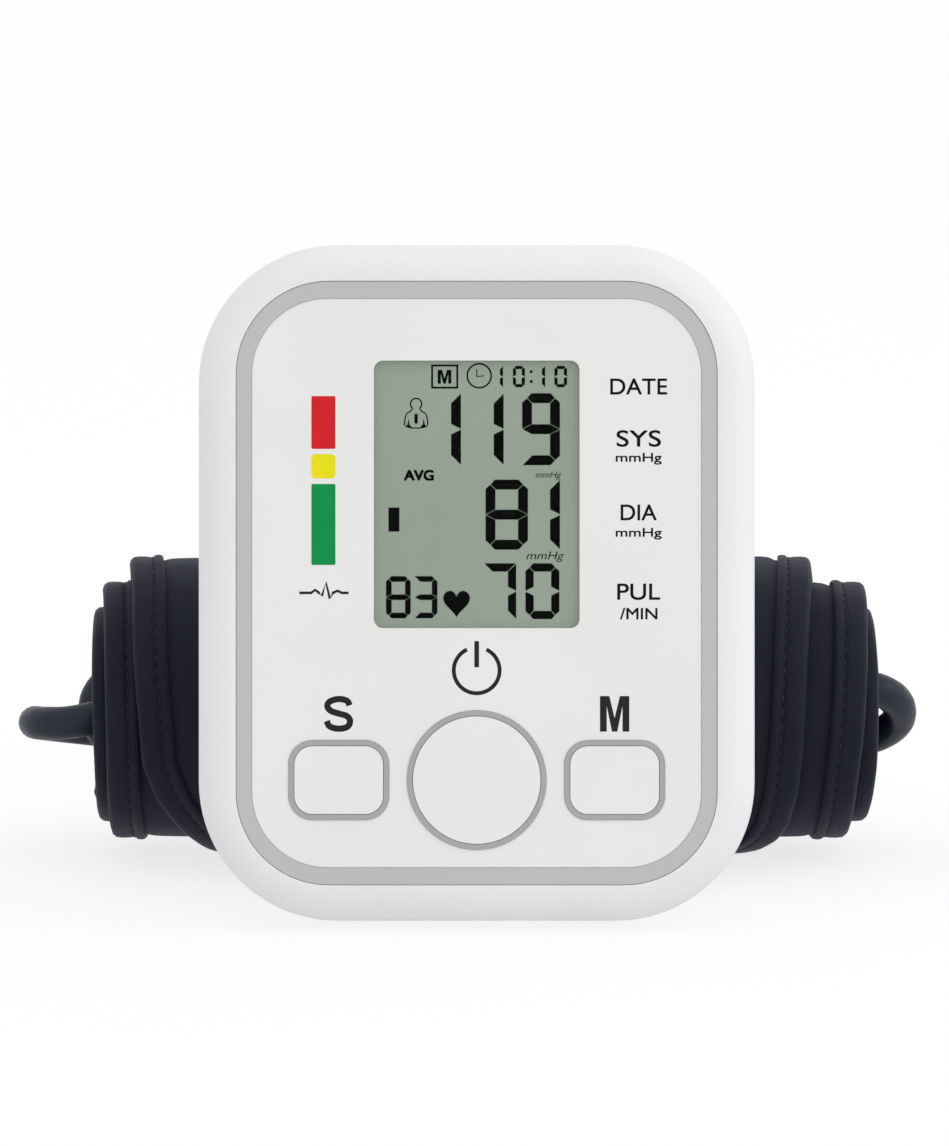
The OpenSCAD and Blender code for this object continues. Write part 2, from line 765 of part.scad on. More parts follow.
front_cover();
rear_cover();
trim_ring();
face_panel();
display_window();
lcd_glass();
lcd_frame();
lcd_connectors();
start_button();
side_button(-1);  // set_button
side_button(1);  // memory_button
start_collar();
key_collar(-1);  // set_collar
key_collar(1);  // memory_collar
switch_bodies();
switch_stem(0);  // start_switch_stem
switch_stem(-key_x);  // set_switch_stem
switch_stem(key_x);  // memory_switch_stem
main_board();
board_chips();
board_screws();
pressure_sensor();
buzzer();
pump_motor_can();
motor_magnets();
motor_armature();
pump_shaft();
pump_crank();
pump_head();
pump_diaphragm();
pump_valve_cap();
pump_cushion();
release_valve();
valve_plunger();
air_manifold();
pump_tube();
valve_tube();
sensor_tube();
jack_tube();
air_jack();
power_socket();
wires();
battery_springs();
battery_contacts();
battery(1);  // battery_1
battery(2);  // battery_2
battery(3);  // battery_3
battery(4);  // battery_4
battery_door();
case_screws();
rubber_feet();
cuff_cover();
cuff_bladder();
cuff_bindings();
hook_patch();
cuff_ring();
hose_port();
air_hose();
air_plug();
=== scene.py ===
"""Looks of the upper arm blood pressure monitor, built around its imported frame.

Sizes below are in millimetres and are turned into metres where a mesh is made.
"""

import math
import random

import bpy
import bmesh
from mathutils import Matrix, Vector, noise


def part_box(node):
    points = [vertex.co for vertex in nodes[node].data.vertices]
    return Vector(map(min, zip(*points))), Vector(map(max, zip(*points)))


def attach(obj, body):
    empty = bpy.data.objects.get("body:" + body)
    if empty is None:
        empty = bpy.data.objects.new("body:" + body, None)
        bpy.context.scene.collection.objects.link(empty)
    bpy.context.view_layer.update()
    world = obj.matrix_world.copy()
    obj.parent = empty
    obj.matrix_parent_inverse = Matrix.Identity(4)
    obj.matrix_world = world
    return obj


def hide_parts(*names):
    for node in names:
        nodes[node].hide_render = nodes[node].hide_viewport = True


MM = 0.001
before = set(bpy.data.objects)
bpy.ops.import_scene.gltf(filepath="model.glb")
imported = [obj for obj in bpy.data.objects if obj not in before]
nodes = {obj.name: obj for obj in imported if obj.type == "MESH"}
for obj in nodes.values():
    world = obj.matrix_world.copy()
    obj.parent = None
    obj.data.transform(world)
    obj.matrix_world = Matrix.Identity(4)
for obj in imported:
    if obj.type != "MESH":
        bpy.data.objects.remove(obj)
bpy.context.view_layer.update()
random.seed(7)

# Frame measures ---------------------------------------------------------------

LEAN = math.radians(8)
# How far the middle of the trim ring's box lies behind the plane of the face
RING_MIDDLE = 0.875
OUTWARD = Vector((0, -math.cos(LEAN), math.sin(LEAN)))
FACE_UP = Vector((0, math.sin(LEAN), math.cos(LEAN)))


def box_middle(node):
    low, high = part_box(node)
    return (low + high) / 2


FACE_MIDDLE = box_middle("trim_ring") + OUTWARD * RING_MIDDLE * MM
FACE = Matrix.Translation(FACE_MIDDLE) @ Matrix.Rotation(math.radians(90) - LEAN, 4, "X")
FACE_MM = FACE @ Matrix.Scale(MM, 4)

# The box of the cuff's ring starts one wire radius before and below the hollow's middle
RING_WIRE = 1.1
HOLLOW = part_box("cuff_ring")[0] / MM + Vector((0, RING_WIRE, RING_WIRE))
HOLLOW.x = 0

# Camera: square to the face, a little above and to the left of its middle ---------

VIEW_DISTANCE = 1200
SENSOR = 36
FRAME_HEIGHT = 209.3
CAMERA_RISE = 1.83
CAMERA_SHIFT = -0.4

camera_data = bpy.data.cameras.new("view")
camera_data.sensor_width = SENSOR
camera_data.lens = SENSOR * VIEW_DISTANCE / FRAME_HEIGHT
camera_data.clip_start = 0.05
camera_data.clip_end = 60
camera = bpy.data.objects.new("view", camera_data)
bpy.context.scene.collection.objects.link(camera)
camera.matrix_world = (
    Matrix.Translation(FACE_MIDDLE + (FACE_UP * CAMERA_RISE + OUTWARD * VIEW_DISTANCE) * MM
                       + Vector((CAMERA_SHIFT * MM, 0, 0)))
    @ Matrix.Rotation(math.radians(90) - LEAN, 4, "X")
)
bpy.context.scene.camera = camera
bpy.context.scene.view_settings.view_transform = "Standard"

# Materials --------------------------------------------------------------------


class Surface:
    """A Principled material with helpers that add procedural detail to it."""

    def __init__(self, name, color, rough, metal=0.0):
        self.material = bpy.data.materials.new(name)
        self.material.use_nodes = True
        self.tree = self.material.node_tree
        self.shader = self.tree.nodes["Principled BSDF"]
        self.shader.inputs["Base Color"].default_value = (*color, 1)
        self.shader.inputs["Roughness"].default_value = rough
        self.shader.inputs["Metallic"].default_value = metal
        self.height = None

    def set(self, name, value):
        self.shader.inputs[name].default_value = value
        return self

    def link(self, out, into):
        self.tree.links.new(out, into)

    def node(self, kind, **values):
        made = self.tree.nodes.new(kind)
        for key, value in values.items():
            if key in made.inputs:
                made.inputs[key].default_value = value
            else:
                setattr(made, key, value)
        return made

    def place(self, stretch=(1, 1, 1), by="Object"):
        coords = self.node("ShaderNodeTexCoord")
        mapping = self.node("ShaderNodeMapping")
        mapping.inputs["Scale"].default_value = stretch
        self.link(coords.outputs[by], mapping.inputs["Vector"])
        return mapping.outputs["Vector"]

    def noise(self, scale, detail=3.0, stretch=(1, 1, 1), by="Object"):
        made = self.node("ShaderNodeTexNoise", Scale=scale, Detail=detail)
        self.link(self.place(stretch, by), made.inputs["Vector"])
        return made.outputs["Fac"]

    def range(self, value, low, high, from_low=0.3, from_high=0.7):
        made = self.node("ShaderNodeMapRange")
        made.inputs["From Min"].default_value = from_low
        made.inputs["From Max"].default_value = from_high
        made.inputs["To Min"].default_value = low
        made.inputs["To Max"].default_value = high
        self.link(value, made.inputs["Value"])
        return made.outputs["Result"]

    def tint(self, value, dark, light):
        """Base colour between two colours, by a value from 0 to 1."""
        made = self.node("ShaderNodeMix", data_type="RGBA")
        made.inputs["A"].default_value = (*dark, 1)
        made.inputs["B"].default_value = (*light, 1)
        self.link(value, made.inputs["Factor"])
        self.link(made.outputs["Result"], self.shader.inputs["Base Color"])
        return self

    def rough(self, value, low, high):
        self.link(self.range(value, low, high), self.shader.inputs["Roughness"])
        return self

    def bump(self, value, depth_mm, strength=1.0):
        made = self.node("ShaderNodeBump", Strength=strength, Distance=depth_mm * MM)
        self.link(value, made.inputs["Height"])
        if self.height is not None:
            self.link(self.height, made.inputs["Normal"])
        self.height = made.outputs["Normal"]
        self.link(self.height, self.shader.inputs["Normal"])
        return self


def shade(color, factor):
    return tuple(c * factor for c in color)


def moulded(name, color, rough, grain=2600, depth=0.012):
    """Moulded plastic: faint tone drift, fine spark-eroded grain."""
    s = Surface(name, color, rough)
    drift = s.noise(35, 2)
    s.tint(s.range(drift, 0, 1), shade(color, 0.985), shade(color, 1.01))
    s.rough(s.noise(120, 3), rough - 0.04, rough + 0.05)
    s.bump(s.noise(grain, 2), depth)
    return s.material


def metal(name, color, rough, stretch):
    s = Surface(name, color, rough, metal=1.0)
    lines = s.noise(900, 3, stretch)
    s.rough(lines, rough - 0.08, rough + 0.1)
    s.tint(s.range(lines, 0, 1), shade(color, 0.85), shade(color, 1.08))
    s.bump(lines, 0.01)
    return s.material


def soft_rubber(name, color, rough, shine=0.5):
    s = Surface(name, color, rough)
    s.set("Specular IOR Level", shine)
    s.tint(s.range(s.noise(60, 3), 0, 1), shade(color, 0.85), shade(color, 1.15))
    s.rough(s.noise(400, 2), rough - 0.07, rough + 0.07)
    s.bump(s.noise(3000, 2), 0.015)
    return s.material


CASE = moulded("case_shell", (0.80, 0.805, 0.82), 0.42)
GREY = moulded("trim_grey", (0.505, 0.505, 0.51), 0.45)
PLATE = moulded("face_plate", (0.815, 0.815, 0.8), 0.5, 3200, 0.006)
COLLAR = moulded("collar_grey", (0.38, 0.38, 0.385), 0.45)
LIGHT = moulded("light_moulding", (0.70, 0.69, 0.66), 0.5)
DARK = moulded("dark_moulding", (0.035, 0.035, 0.04), 0.45)
SEAL = soft_rubber("seal_rubber", (0.03, 0.03, 0.03), 0.7)
FOOT = soft_rubber("foot_rubber", (0.12, 0.12, 0.125), 0.75)
BLADDER = soft_rubber("bladder_rubber", (0.02, 0.02, 0.022), 0.55)
TUBING = soft_rubber("inner_tubing", (0.62, 0.60, 0.54), 0.35)
STEEL = metal("steel", (0.58, 0.585, 0.60), 0.28, (1, 12, 12))
COPPER = metal("copper_winding", (0.72, 0.34, 0.16), 0.35, (1, 1, 30))
MAGNET = moulded("magnet", (0.05, 0.05, 0.055), 0.6, 1800, 0.03)
SHEATH = soft_rubber("wire_sheath", (0.5, 0.03, 0.02), 0.4)
SOCKET = moulded("plug_grey", (0.24, 0.25, 0.27), 0.4)

NODE_MATERIALS = {
    "front_cover": CASE, "rear_cover": CASE, "battery_door": CASE,
    "trim_ring": GREY, "face_panel": PLATE,
    "start_button": PLATE, "set_button": PLATE, "memory_button": PLATE,
    "start_collar": COLLAR, "set_collar": COLLAR, "memory_collar": COLLAR,
    "lcd_frame": LIGHT, "air_manifold": LIGHT, "release_valve": LIGHT,
    "pressure_sensor": LIGHT, "pump_crank": LIGHT,
    "lcd_connectors": SEAL, "pump_diaphragm": SEAL, "pump_cushion": SEAL,
    "rubber_feet": FOOT, "cuff_bladder": BLADDER,
    "pump_tube": TUBING, "valve_tube": TUBING, "sensor_tube": TUBING, "jack_tube": TUBING,
    "switch_bodies": DARK, "start_switch_stem": DARK, "set_switch_stem": DARK,
    "memory_switch_stem": DARK, "board_chips": DARK, "buzzer": DARK, "pump_head": DARK,
    "pump_valve_cap": DARK, "power_socket": DARK, "hose_port": DARK,
    "motor_magnets": MAGNET, "board_screws": STEEL, "case_screws": STEEL,
    "pump_motor_can": STEEL, "pump_shaft": STEEL, "valve_plunger": STEEL,
    "battery_contacts": STEEL, "battery_springs": STEEL, "cuff_ring": STEEL,
    "motor_armature": COPPER, "wires": SHEATH, "air_jack": SOCKET, "air_plug": SOCKET,
}


def dress(looks):
    for node, material in looks.items():
        nodes[node].data.materials.clear()
        nodes[node].data.materials.append(material)


dress(NODE_MATERIALS)

# Stage ------------------------------------------------------------------------

FLOOR_SIZE = 30
FLOOR_GLOW = 0.6
FLOOR_SEEN = 0.76
WORLD_LEFT = 0.83
WORLD_RIGHT = 1.0
WORLD_SEEN = 0.985
# Name, place and aim in metres, size in metres, power in watts
LIGHTS = (
    ("top", (0.15, -0.3, 1.5), (0, 0, 0.05), (1.2, 1.2), 1.6),
    ("front", (0.8, -1.3, 0.7), (0, 0, 0.05), (1.2, 1.2), 2.2),
    ("right", (1.3, -0.2, 0.55), (0, 0, 0.04), (0.5, 0.7), 2),
)


def make_floor():
    """A pale floor that gives some light of its own, and more of it to the camera."""
    bpy.ops.mesh.primitive_plane_add(size=FLOOR_SIZE)
    floor = bpy.context.active_object
    floor.name = "floor"
    surface = Surface("floor", (0.22, 0.22, 0.22), 0.9)
    surface.set("Specular IOR Level", 0.1)
    surface.set("Emission Color", (1, 1, 1, 1))
    path = surface.node("ShaderNodeLightPath")
    glow = surface.node("ShaderNodeMapRange")
    glow.inputs["To Min"].default_value = FLOOR_GLOW
    glow.inputs["To Max"].default_value = FLOOR_SEEN
    surface.link(path.outputs["Is Camera Ray"], glow.inputs["Value"])
    surface.link(glow.outputs["Result"], surface.shader.inputs["Emission Strength"])
    floor.data.materials.append(surface.material)


def area_light(name, place, aim, size, power):
    data = bpy.data.lights.new(name, "AREA")
    data.shape = "RECTANGLE"
    data.size, data.size_y = size
    data.energy = power
    light = bpy.data.objects.new(name, data)
    bpy.context.scene.collection.objects.link(light)
    light.location = place
    light.rotation_euler = (Vector(aim) - Vector(place)).to_track_quat("-Z", "Y").to_euler()
    return light


def make_lights():
    """Soft light from all round, a little stronger from the right; the camera sees white."""
    world = bpy.data.worlds.new("studio")
    world.use_nodes = True
    tree = world.node_tree
    soft = tree.nodes["Background"]
    plain = tree.nodes.new("ShaderNodeBackground")
    plain.inputs["Color"].default_value = (1, 1, 1, 1)
    plain.inputs["Strength"].default_value = WORLD_SEEN
    coords = tree.nodes.new("ShaderNodeTexCoord")
    split = tree.nodes.new("ShaderNodeSeparateXYZ")
    ramp = tree.nodes.new("ShaderNodeMapRange")
    spread = {"From Min": -1, "From Max": 1, "To Min": WORLD_LEFT, "To Max": WORLD_RIGHT}
    for name, value in spread.items():
        ramp.inputs[name].default_value = value
    tree.links.new(coords.outputs["Generated"], split.inputs["Vector"])
    tree.links.new(split.outputs["X"], ramp.inputs["Value"])
    tree.links.new(ramp.outputs["Result"], soft.inputs["Strength"])
    soft.inputs["Color"].default_value = (1, 1, 1, 1)
    path = tree.nodes.new("ShaderNodeLightPath")
    mix = tree.nodes.new("ShaderNodeMixShader")
    tree.links.new(path.outputs["Is Camera Ray"], mix.inputs["Fac"])
    tree.links.new(soft.outputs["Background"], mix.inputs[1])
    tree.links.new(plain.outputs["Background"], mix.inputs[2])
    tree.links.new(mix.outputs["Shader"], tree.nodes["World Output"].inputs["Surface"])
    bpy.context.scene.world = world
    for light in LIGHTS:
        area_light(*light)


make_floor()
make_lights()

# Hose, the first of the soft pieces ---------------------------------------------

HOSE_D = 6.5
ROUTE = [
    (34, 3.6, -3.6), (20, 3.6, -3.6), (0, 3.6, -3.6), (-24, 3.6, -3.6), (-48, 3.6, -3.6),
    (-60, 4.2, -4), (-70, 7.5, -4.4), (-79, 9.5, -3.8), (-85, 7, -2.7), (-87.7, 0.5, -1.2),
    (-85.5, -6, -0.3), (-79.5, -9.3, 0.5), (-70, -7.6, 2.4), (-60, -4.4, 3.6), (-48, -3.6, 3.6),
    (-24, -3.6, 3.6), (0, -3.6, 3.6), (24, -3.6, 3.6), (48, -3.6, 3.6), (60, -5, 4.4),
    (68, -7.6, 6.4), (75, -7.4, 6.8), (80, -3.2, 3.6), (80.6, 3, -1.4), (76, 7.6, -5.2),
    (68, 7.6, -5.4), (60, 4, -4.6), (50, -1.6, -3.8), (40, -3.6, -3.6), (20, -3.6, -3.6),
    (-4, -3.6, -3.6), (-28, -3.6, -3.6), (-46, -3.6, -3.6), (-56, -3.8, -4.6), (-64, -4, -7),
    (-73, -2.8, -4), (-76, 0, 2.2), (-72.5, 3, 7), (-64.5, 5.5, 7.2), (-54, 3.8, 4),
    (-28, 3.6, 3.6), (0, 3.6, 3.6), (20, 3.6, 3.6), (34, 3.6, 3.6),
]


def between(a, b, c, d, t):
    """The point a share t of the way from b to c, on a smooth line that a and d steer."""
    return (
        2 * b + (c - a) * t + (2 * a - 5 * b + 4 * c - d) * t * t
        + (3 * b - a - 3 * c + d) * t * t * t
    ) / 2


def smooth_route(points, steps):
    made = []
    last = len(points) - 1
    for i in range(last):
        a, b = points[max(i - 1, 0)], points[i]
        c, d = points[i + 1], points[min(i + 2, last)]
        made += [between(a, b, c, d, k / steps) for k in range(steps)]
    return made + [points[-1]]


def make_hose():
    points = smooth_route([(HOLLOW + Vector(p)) * MM for p in ROUTE], 6)
    curve = bpy.data.curves.new("hose", "CURVE")
    curve.dimensions = "3D"
    curve.bevel_depth = HOSE_D / 2 * MM
    curve.bevel_resolution = 7
    curve.use_fill_caps = True
    spline = curve.splines.new("POLY")
    spline.points.add(len(points) - 1)
    for point, at in zip(spline.points, points):
        point.co = (*at, 1)
    curve.materials.append(HOSE)
    hose = bpy.data.objects.new("hose", curve)
    bpy.context.scene.collection.objects.link(hose)
    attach(hose, "cuff")
    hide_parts("air_hose")
    return hose


HOSE = soft_rubber("hose_rubber", (0.015, 0.019, 0.035), 0.38, 0.25)
make_hose()


# Cuff ---------------------------------------------------------------------------

# The cloth is rolled up: a place on it is t, turns from its inner end, and x, along
# the roll. A turn's middle drops with the sag of the roll under its own weight.
INNER_R = 12.3
ROLL_R = 30.2
TAPE_OFF = 1.5
PITCH = 4.05
TURNS = (ROLL_R - TAPE_OFF - INNER_R) / PITCH
SAG = 3.5
TAIL_ANGLE = 262
STEPS_PER_TURN = 96
ROWS = STEPS_PER_TURN * 4
EDGE_SWAY = 0.35


def on_roll(t, x, off):
    angle = math.radians(TAIL_ANGLE - 360 * (TURNS - t))
    r = INNER_R + PITCH * t + off
    middle = HOLLOW.z + SAG * t / TURNS
    return Vector((x, HOLLOW.y + r * math.cos(angle), middle + r * math.sin(angle)))


def cloth_length(t):
    return 2 * math.pi * (INNER_R * t + PITCH * t * t / 2)


def turn_at(s):
    return (math.sqrt(INNER_R ** 2 + PITCH * max(s, 0) / math.pi) - INNER_R) / PITCH


CLOTH_END = cloth_length(TURNS)

# Ends of the cloth along the roll, by turns back from the free end
LEFT_EDGE = [
    (0, -64.4), (0.16, -65.2), (0.31, -67.2), (0.48, -69), (0.8, -71.1), (1, -72.6),
    (1.16, -72.6), (1.31, -72.9), (1.48, -74.3), (1.8, -74.8), (2.16, -75.2), (2.48, -76),
    (2.95, -76.4), (3.14, -63), (3.22, -61.6), (4.2, -61.6),
]
RIGHT_EDGE = [
    (0, 59), (0.12, 59.7), (0.16, 60.3), (0.31, 61.8), (0.48, 63.4), (0.8, 67.4), (1, 70.4),
    (1.16, 71.8), (1.31, 73.4), (1.48, 74), (1.8, 74.3), (2, 74.4), (2.16, 75.4),
    (2.31, 75.7), (2.48, 75.2), (2.95, 75.4), (3.14, 63), (3.22, 60.4), (4.2, 60.4),
]
# How far each corner of the free end is cut in, by distance from that end
LEFT_CORNER = [(0, 26), (0.5, 18), (3.2, 12.6), (10, 8.8), (17.9, 5.1), (25, 1.9), (32, 0)]
RIGHT_CORNER = [(0, 20), (0.5, 12.6), (2.4, 8.8), (6, 5.8), (11.6, 2.8), (18, 0.8), (25, 0)]


def along(table, at):
    for (a, low), (b, high) in zip(table, table[1:]):
        if at <= b:
            return low + (high - low) * (at - a) / (b - a)
    return table[-1][1]


def edges(t):
    back = TURNS - t
    from_end = CLOTH_END - cloth_length(t)
    left = along(LEFT_EDGE, back) + along(LEFT_CORNER, from_end)
    right = along(RIGHT_EDGE, back) - along(RIGHT_CORNER, from_end)
    sway = EDGE_SWAY * noise.noise(Vector((cloth_length(t) / 22, 3, 1)))
    return left + sway, right + sway


def mesh_piece(name, points, faces, material, uv=None, smooth=True):
    """An object in metres from points in millimetres."""
    mesh = bpy.data.meshes.new(name)
    mesh.from_pydata([tuple(p * MM) for p in points], [], faces)
    if uv:
        layer = mesh.uv_layers.new(name="UVMap")
        for loop in mesh.loops:
            layer.data[loop.index].uv = uv[loop.vertex_index]
    mesh.polygons.foreach_set("use_smooth", [smooth] * len(mesh.polygons))
    mesh.materials.append(material)
    mesh.validate()
    made = bpy.data.objects.new(name, mesh)
    bpy.context.scene.collection.objects.link(made)
    return made


def fix_normals(piece):
    shape = bmesh.new()
    shape.from_mesh(piece.data)
    bmesh.ops.recalc_face_normals(shape, faces=shape.faces)
    shape.to_mesh(piece.data)
    shape.free()


def grid_faces(rows, columns, closed_rows=False):
    """Quads of a grid whose columns close on themselves."""
    made = []
    for i in range(rows if closed_rows else rows - 1):
        j = (i + 1) % rows
        for k in range(columns):
            m = (k + 1) % columns
            made.append((i * columns + k, i * columns + m, j * columns + m, j * columns + k))
    return made


def wrinkle(s, x, side, from_edge):
    """Slack in the cloth: long soft folds, and puckers that fade out from the seams."""
    soft = noise.noise(Vector((s / 26, x / 60, 5 * side)))
    cross = noise.noise(Vector((s / 9, x / 30, 9 * side)))
    pucker = noise.noise(Vector((s / 5, x / 90, 7 * side)))
    return 0.42 * soft + 0.18 * cross + 0.4 * pucker * math.exp(-from_edge / 14)


# Half the cloth's thickness by distance in from an edge, and from the free end
EDGE_STEPS = [
    (3, 0.75), (5.2, 0.85), (6.2, 0.85), (6.8, 0.8), (7.3, 0.95), (8.2, 1.2), (9.6, 1.32),
    (12, 1.36),
]
END_THIN = [(3, 0.75), (6.8, 0.8), (8.2, 1.2), (9.6, 1.32)]
FULL_HALF = 1.36


def make_panel():
    """The cloth between the bindings, a closed sheet that thins where it enters them."""
    middle_steps = 26
    turns_at = [TURNS * i / ROWS for i in range(ROWS + 1)]
    turns_at = [t for t in turns_at if cloth_length(t) < CLOTH_END - 9]
    turns_at += [turn_at(CLOTH_END - d) for d, _ in reversed(EDGE_STEPS[:-2])]
    points, uv = [], []
    for t in turns_at:
        left, right = edges(t)
        s = cloth_length(t)
        end_thin = along(END_THIN, CLOTH_END - s)
        end_thin = min(end_thin, 0.4 + s / 2)
        sides = [(left + d, off) for d, off in EDGE_STEPS]
        inner_left, inner_right = left + 12, right - 12
        for k in range(1, middle_steps):
            sides.append((inner_left + (inner_right - inner_left) * k / middle_steps, FULL_HALF))
        sides += [(right - d, off) for d, off in reversed(EDGE_STEPS)]
        for side in (1, -1):
            row = sides if side == 1 else reversed(sides)
            for x, off in row:
                slack = max(0, min(1, (off - 1) / 0.3))
                off = min(off, end_thin + 0.04)
                from_edge = min(x - left, right - x)
                lift = wrinkle(s, x, side, from_edge) * slack * (1 if side == 1 else 0.5)
                points.append(on_roll(t, x, side * (off + lift)))
                uv.append((x, s))
    columns = 2 * (2 * len(EDGE_STEPS) + middle_steps - 1)
    faces = grid_faces(len(turns_at), columns)
    last = len(turns_at) - 1
    half = columns // 2
    for row in (0, last):
        for k in range(half - 1):
            a, b = row * columns + k, row * columns + k + 1
            c, d = row * columns + columns - 2 - k, row * columns + columns - 1 - k
            faces.append((a, b, c, d))
    piece = mesh_piece("cuff_panel", points, faces, CLOTH_LOOK, uv)
    fix_normals(piece)
    return piece


# Binding: a tape folded over the cloth's edge. Pairs of distance in from the edge and
# offset from the cloth's middle, from the outer hem round the edge to the inner one.
BINDING_SECTION = [
    (6.5, 0.7), (6.5, 1.55), (6.2, 1.82), (5.6, 1.9), (5, 1.8), (4.65, 1.5), (4.4, 1.12),
    (4.15, 1.38), (3.4, 1.52), (2, 1.56), (0.9, 1.42), (0.25, 0.9), (0, 0.1), (0.2, -0.6),
    (0.8, -1.12), (2, -1.24), (4.1, -1.22), (4.4, -1.05), (4.7, -1.2), (6.2, -1.25),
    (6.5, -1.1), (6.5, -0.7),
]
STITCH_IN = 4.4
STITCH_EVERY = 2.6
STITCH_LONG = 1.75
THREAD_R = 0.2


def make_outline():
    """The cloth's edge as (s, x), up the right side, round the free end, down the left."""
    turns_at = [TURNS * i / ROWS for i in range(ROWS + 1)]
    turns_at = [t for t in turns_at if cloth_length(t) < CLOTH_END - 4]
    turns_at += [turn_at(CLOTH_END - d) for d in (3.2, 2.4, 1.6, 0.9, 0.4, 0.1)]
    right = [(cloth_length(t), edges(t)[1]) for t in turns_at]
    left = [(cloth_length(t), edges(t)[0]) for t in turns_at]
    x_right, x_left = edges(TURNS)[1], edges(TURNS)[0]
    end_steps = 24
    end = [(CLOTH_END, x_right + (x_left - x_right) * k / end_steps) for k in range(end_steps + 1)]
    return right + end + left[::-1]


def inward(outline, i):
    a = outline[max(i - 2, 0)]
    b = outline[min(i + 2, len(outline) - 1)]
    way = Vector((b[0] - a[0], b[1] - a[1])).normalized()
    return Vector((way.y, -way.x))


def at_edge(outline, i, distance):
    """A place at a distance in from the cloth's edge, as (s, x)."""
    side = inward(outline, i)
    return outline[i][0] + side.x * distance, outline[i][1] + side.y * distance


def make_binding(outline):
    points, uv = [], []
    for i in range(len(outline)):
        pucker = noise.noise(Vector((outline[i][0] / 3.5, outline[i][1] / 3.5, 2)))
        for k, (distance, off) in enumerate(BINDING_SECTION):
            s, x = at_edge(outline, i, distance)
            puff = 0.1 * pucker * (1 if distance < 4 else 0.5)
            points.append(on_roll(turn_at(s), x, off + (puff if off > 0 else 0)))
            uv.append((k * 0.9, i * 1.4))
    columns = len(BINDING_SECTION)
    faces = grid_faces(len(outline), columns)
    last = (len(outline) - 1) * columns
    faces.append(tuple(range(columns)))
    faces.append(tuple(last + k for k in reversed(range(columns))))
    piece = mesh_piece("cuff_binding_tape", points, faces, BINDING_LOOK, uv)
    fix_normals(piece)
    return piece


def thread_ring(centre, way, up, r):
    side = way.cross(up).normalized()
    return [centre + r * (math.cos(a) * side + math.sin(a) * up)
            for a in (math.radians(60 * k) for k in range(6))]


def make_stitches(outline):
    """Lockstitches in the groove of the binding: a short thread that dips at both ends."""
    points, faces = [], []
    seam = [at_edge(outline, i, STITCH_IN) for i in range(len(outline))]
    travelled = [0]
    for (s0, x0), (s1, x1) in zip(seam, seam[1:]):
        travelled.append(travelled[-1] + math.hypot(s1 - s0, x1 - x0))

    def seam_at(distance):
        for i in range(1, len(seam)):
            if travelled[i] >= distance:
                break
        share = (distance - travelled[i - 1]) / max(travelled[i] - travelled[i - 1], 1e-6)
        share = min(max(share, 0), 1)
        (s0, x0), (s1, x1) = seam[i - 1], seam[i]
        return s0 + (s1 - s0) * share, x0 + (x1 - x0) * share

    profile = [(-0.5, 0.95, 0.4), (-0.4, 1.16, 0.9), (-0.15, 1.33, 1), (0.15, 1.33, 1),
               (0.4, 1.16, 0.9), (0.5, 0.95, 0.4)]
    at = STITCH_EVERY
    while at < travelled[-1] - STITCH_EVERY:
        jitter = random.uniform(-0.12, 0.12)
        line = []
        for share, off, _ in profile:
            s, x = seam_at(at + share * STITCH_LONG)
            line.append(on_roll(turn_at(s), x + jitter * share, off))
        way = (line[-1] - line[0]).normalized()
        s, x = seam_at(at)
        up = (on_roll(turn_at(s), x, 2) - on_roll(turn_at(s), x, 0)).normalized()
        base = len(points)
        for centre, (_, _, fat) in zip(line, profile):
            points += thread_ring(centre, way, up, THREAD_R * fat)
        faces += [tuple(base + v for v in face) for face in grid_faces(len(profile), 6)]
        faces.append(tuple(base + k for k in range(6)))
        end = base + 6 * (len(profile) - 1)
        faces.append(tuple(end + k for k in reversed(range(6))))
        at += STITCH_EVERY
    piece = mesh_piece("cuff_stitches", points, faces, THREAD_LOOK)
    fix_normals(piece)
    return piece


HOOK_ENDS = (-52, 46)
HOOK_DEPTHS = (-1.3, -1.72)


def make_hook_strip():
    """The hook patch on the inner face of the free end."""
    first, last, rows = TURNS - 0.5, TURNS - 0.05, 44
    (left, right), (top, bottom) = HOOK_ENDS, HOOK_DEPTHS
    corners = [(left, top), (right, top), (right, bottom), (left, bottom)]
    points = [on_roll(first + (last - first) * i / rows, x, off)
              for i in range(rows + 1) for x, off in corners]
    faces = grid_faces(rows + 1, 4)
    faces += [(0, 1, 2, 3), tuple(rows * 4 + k for k in (3, 2, 1, 0))]
    piece = mesh_piece("hook_strip", points, faces, HOOK_LOOK)
    fix_normals(piece)
    return piece


def woven(name, color, rough, thread_mm, depth, sheen):
    """Cloth whose threads cross at right angles, laid out by the UV map in millimetres."""
    s = Surface(name, color, rough)
    across = s.node("ShaderNodeTexWave", bands_direction="X", Scale=0.314 / thread_mm)
    down = s.node("ShaderNodeTexWave", bands_direction="Y", Scale=0.314 / thread_mm)
    for wave in (across, down):
        wave.inputs["Distortion"].default_value = 0.6
        wave.inputs["Detail Scale"].default_value = 2
        s.link(s.place(by="UV"), wave.inputs["Vector"])
    mixed = s.node("ShaderNodeMath", operation="MULTIPLY")
    s.link(across.outputs["Fac"], mixed.inputs[0])
    s.link(down.outputs["Fac"], mixed.inputs[1])
    drift = s.noise(0.06, 4, by="UV")
    tone = s.node("ShaderNodeMath", operation="MULTIPLY_ADD")
    s.link(mixed.outputs[0], tone.inputs[0])
    tone.inputs[1].default_value = 0.45
    s.link(s.range(drift, 0, 0.55), tone.inputs[2])
    s.tint(tone.outputs[0], shade(color, 0.75), shade(color, 1.3))
    s.rough(drift, rough - 0.06, rough + 0.06)
    s.set("Sheen Weight", sheen)
    s.set("Sheen Roughness", 0.45)
    s.set("Sheen Tint", (0.7, 0.78, 1, 1))
    s.set("Specular IOR Level", 0.14)
    s.bump(mixed.outputs[0], depth)
    s.bump(s.noise(0.35, 3, by="UV"), 0.25, 0.5)
    return s.material


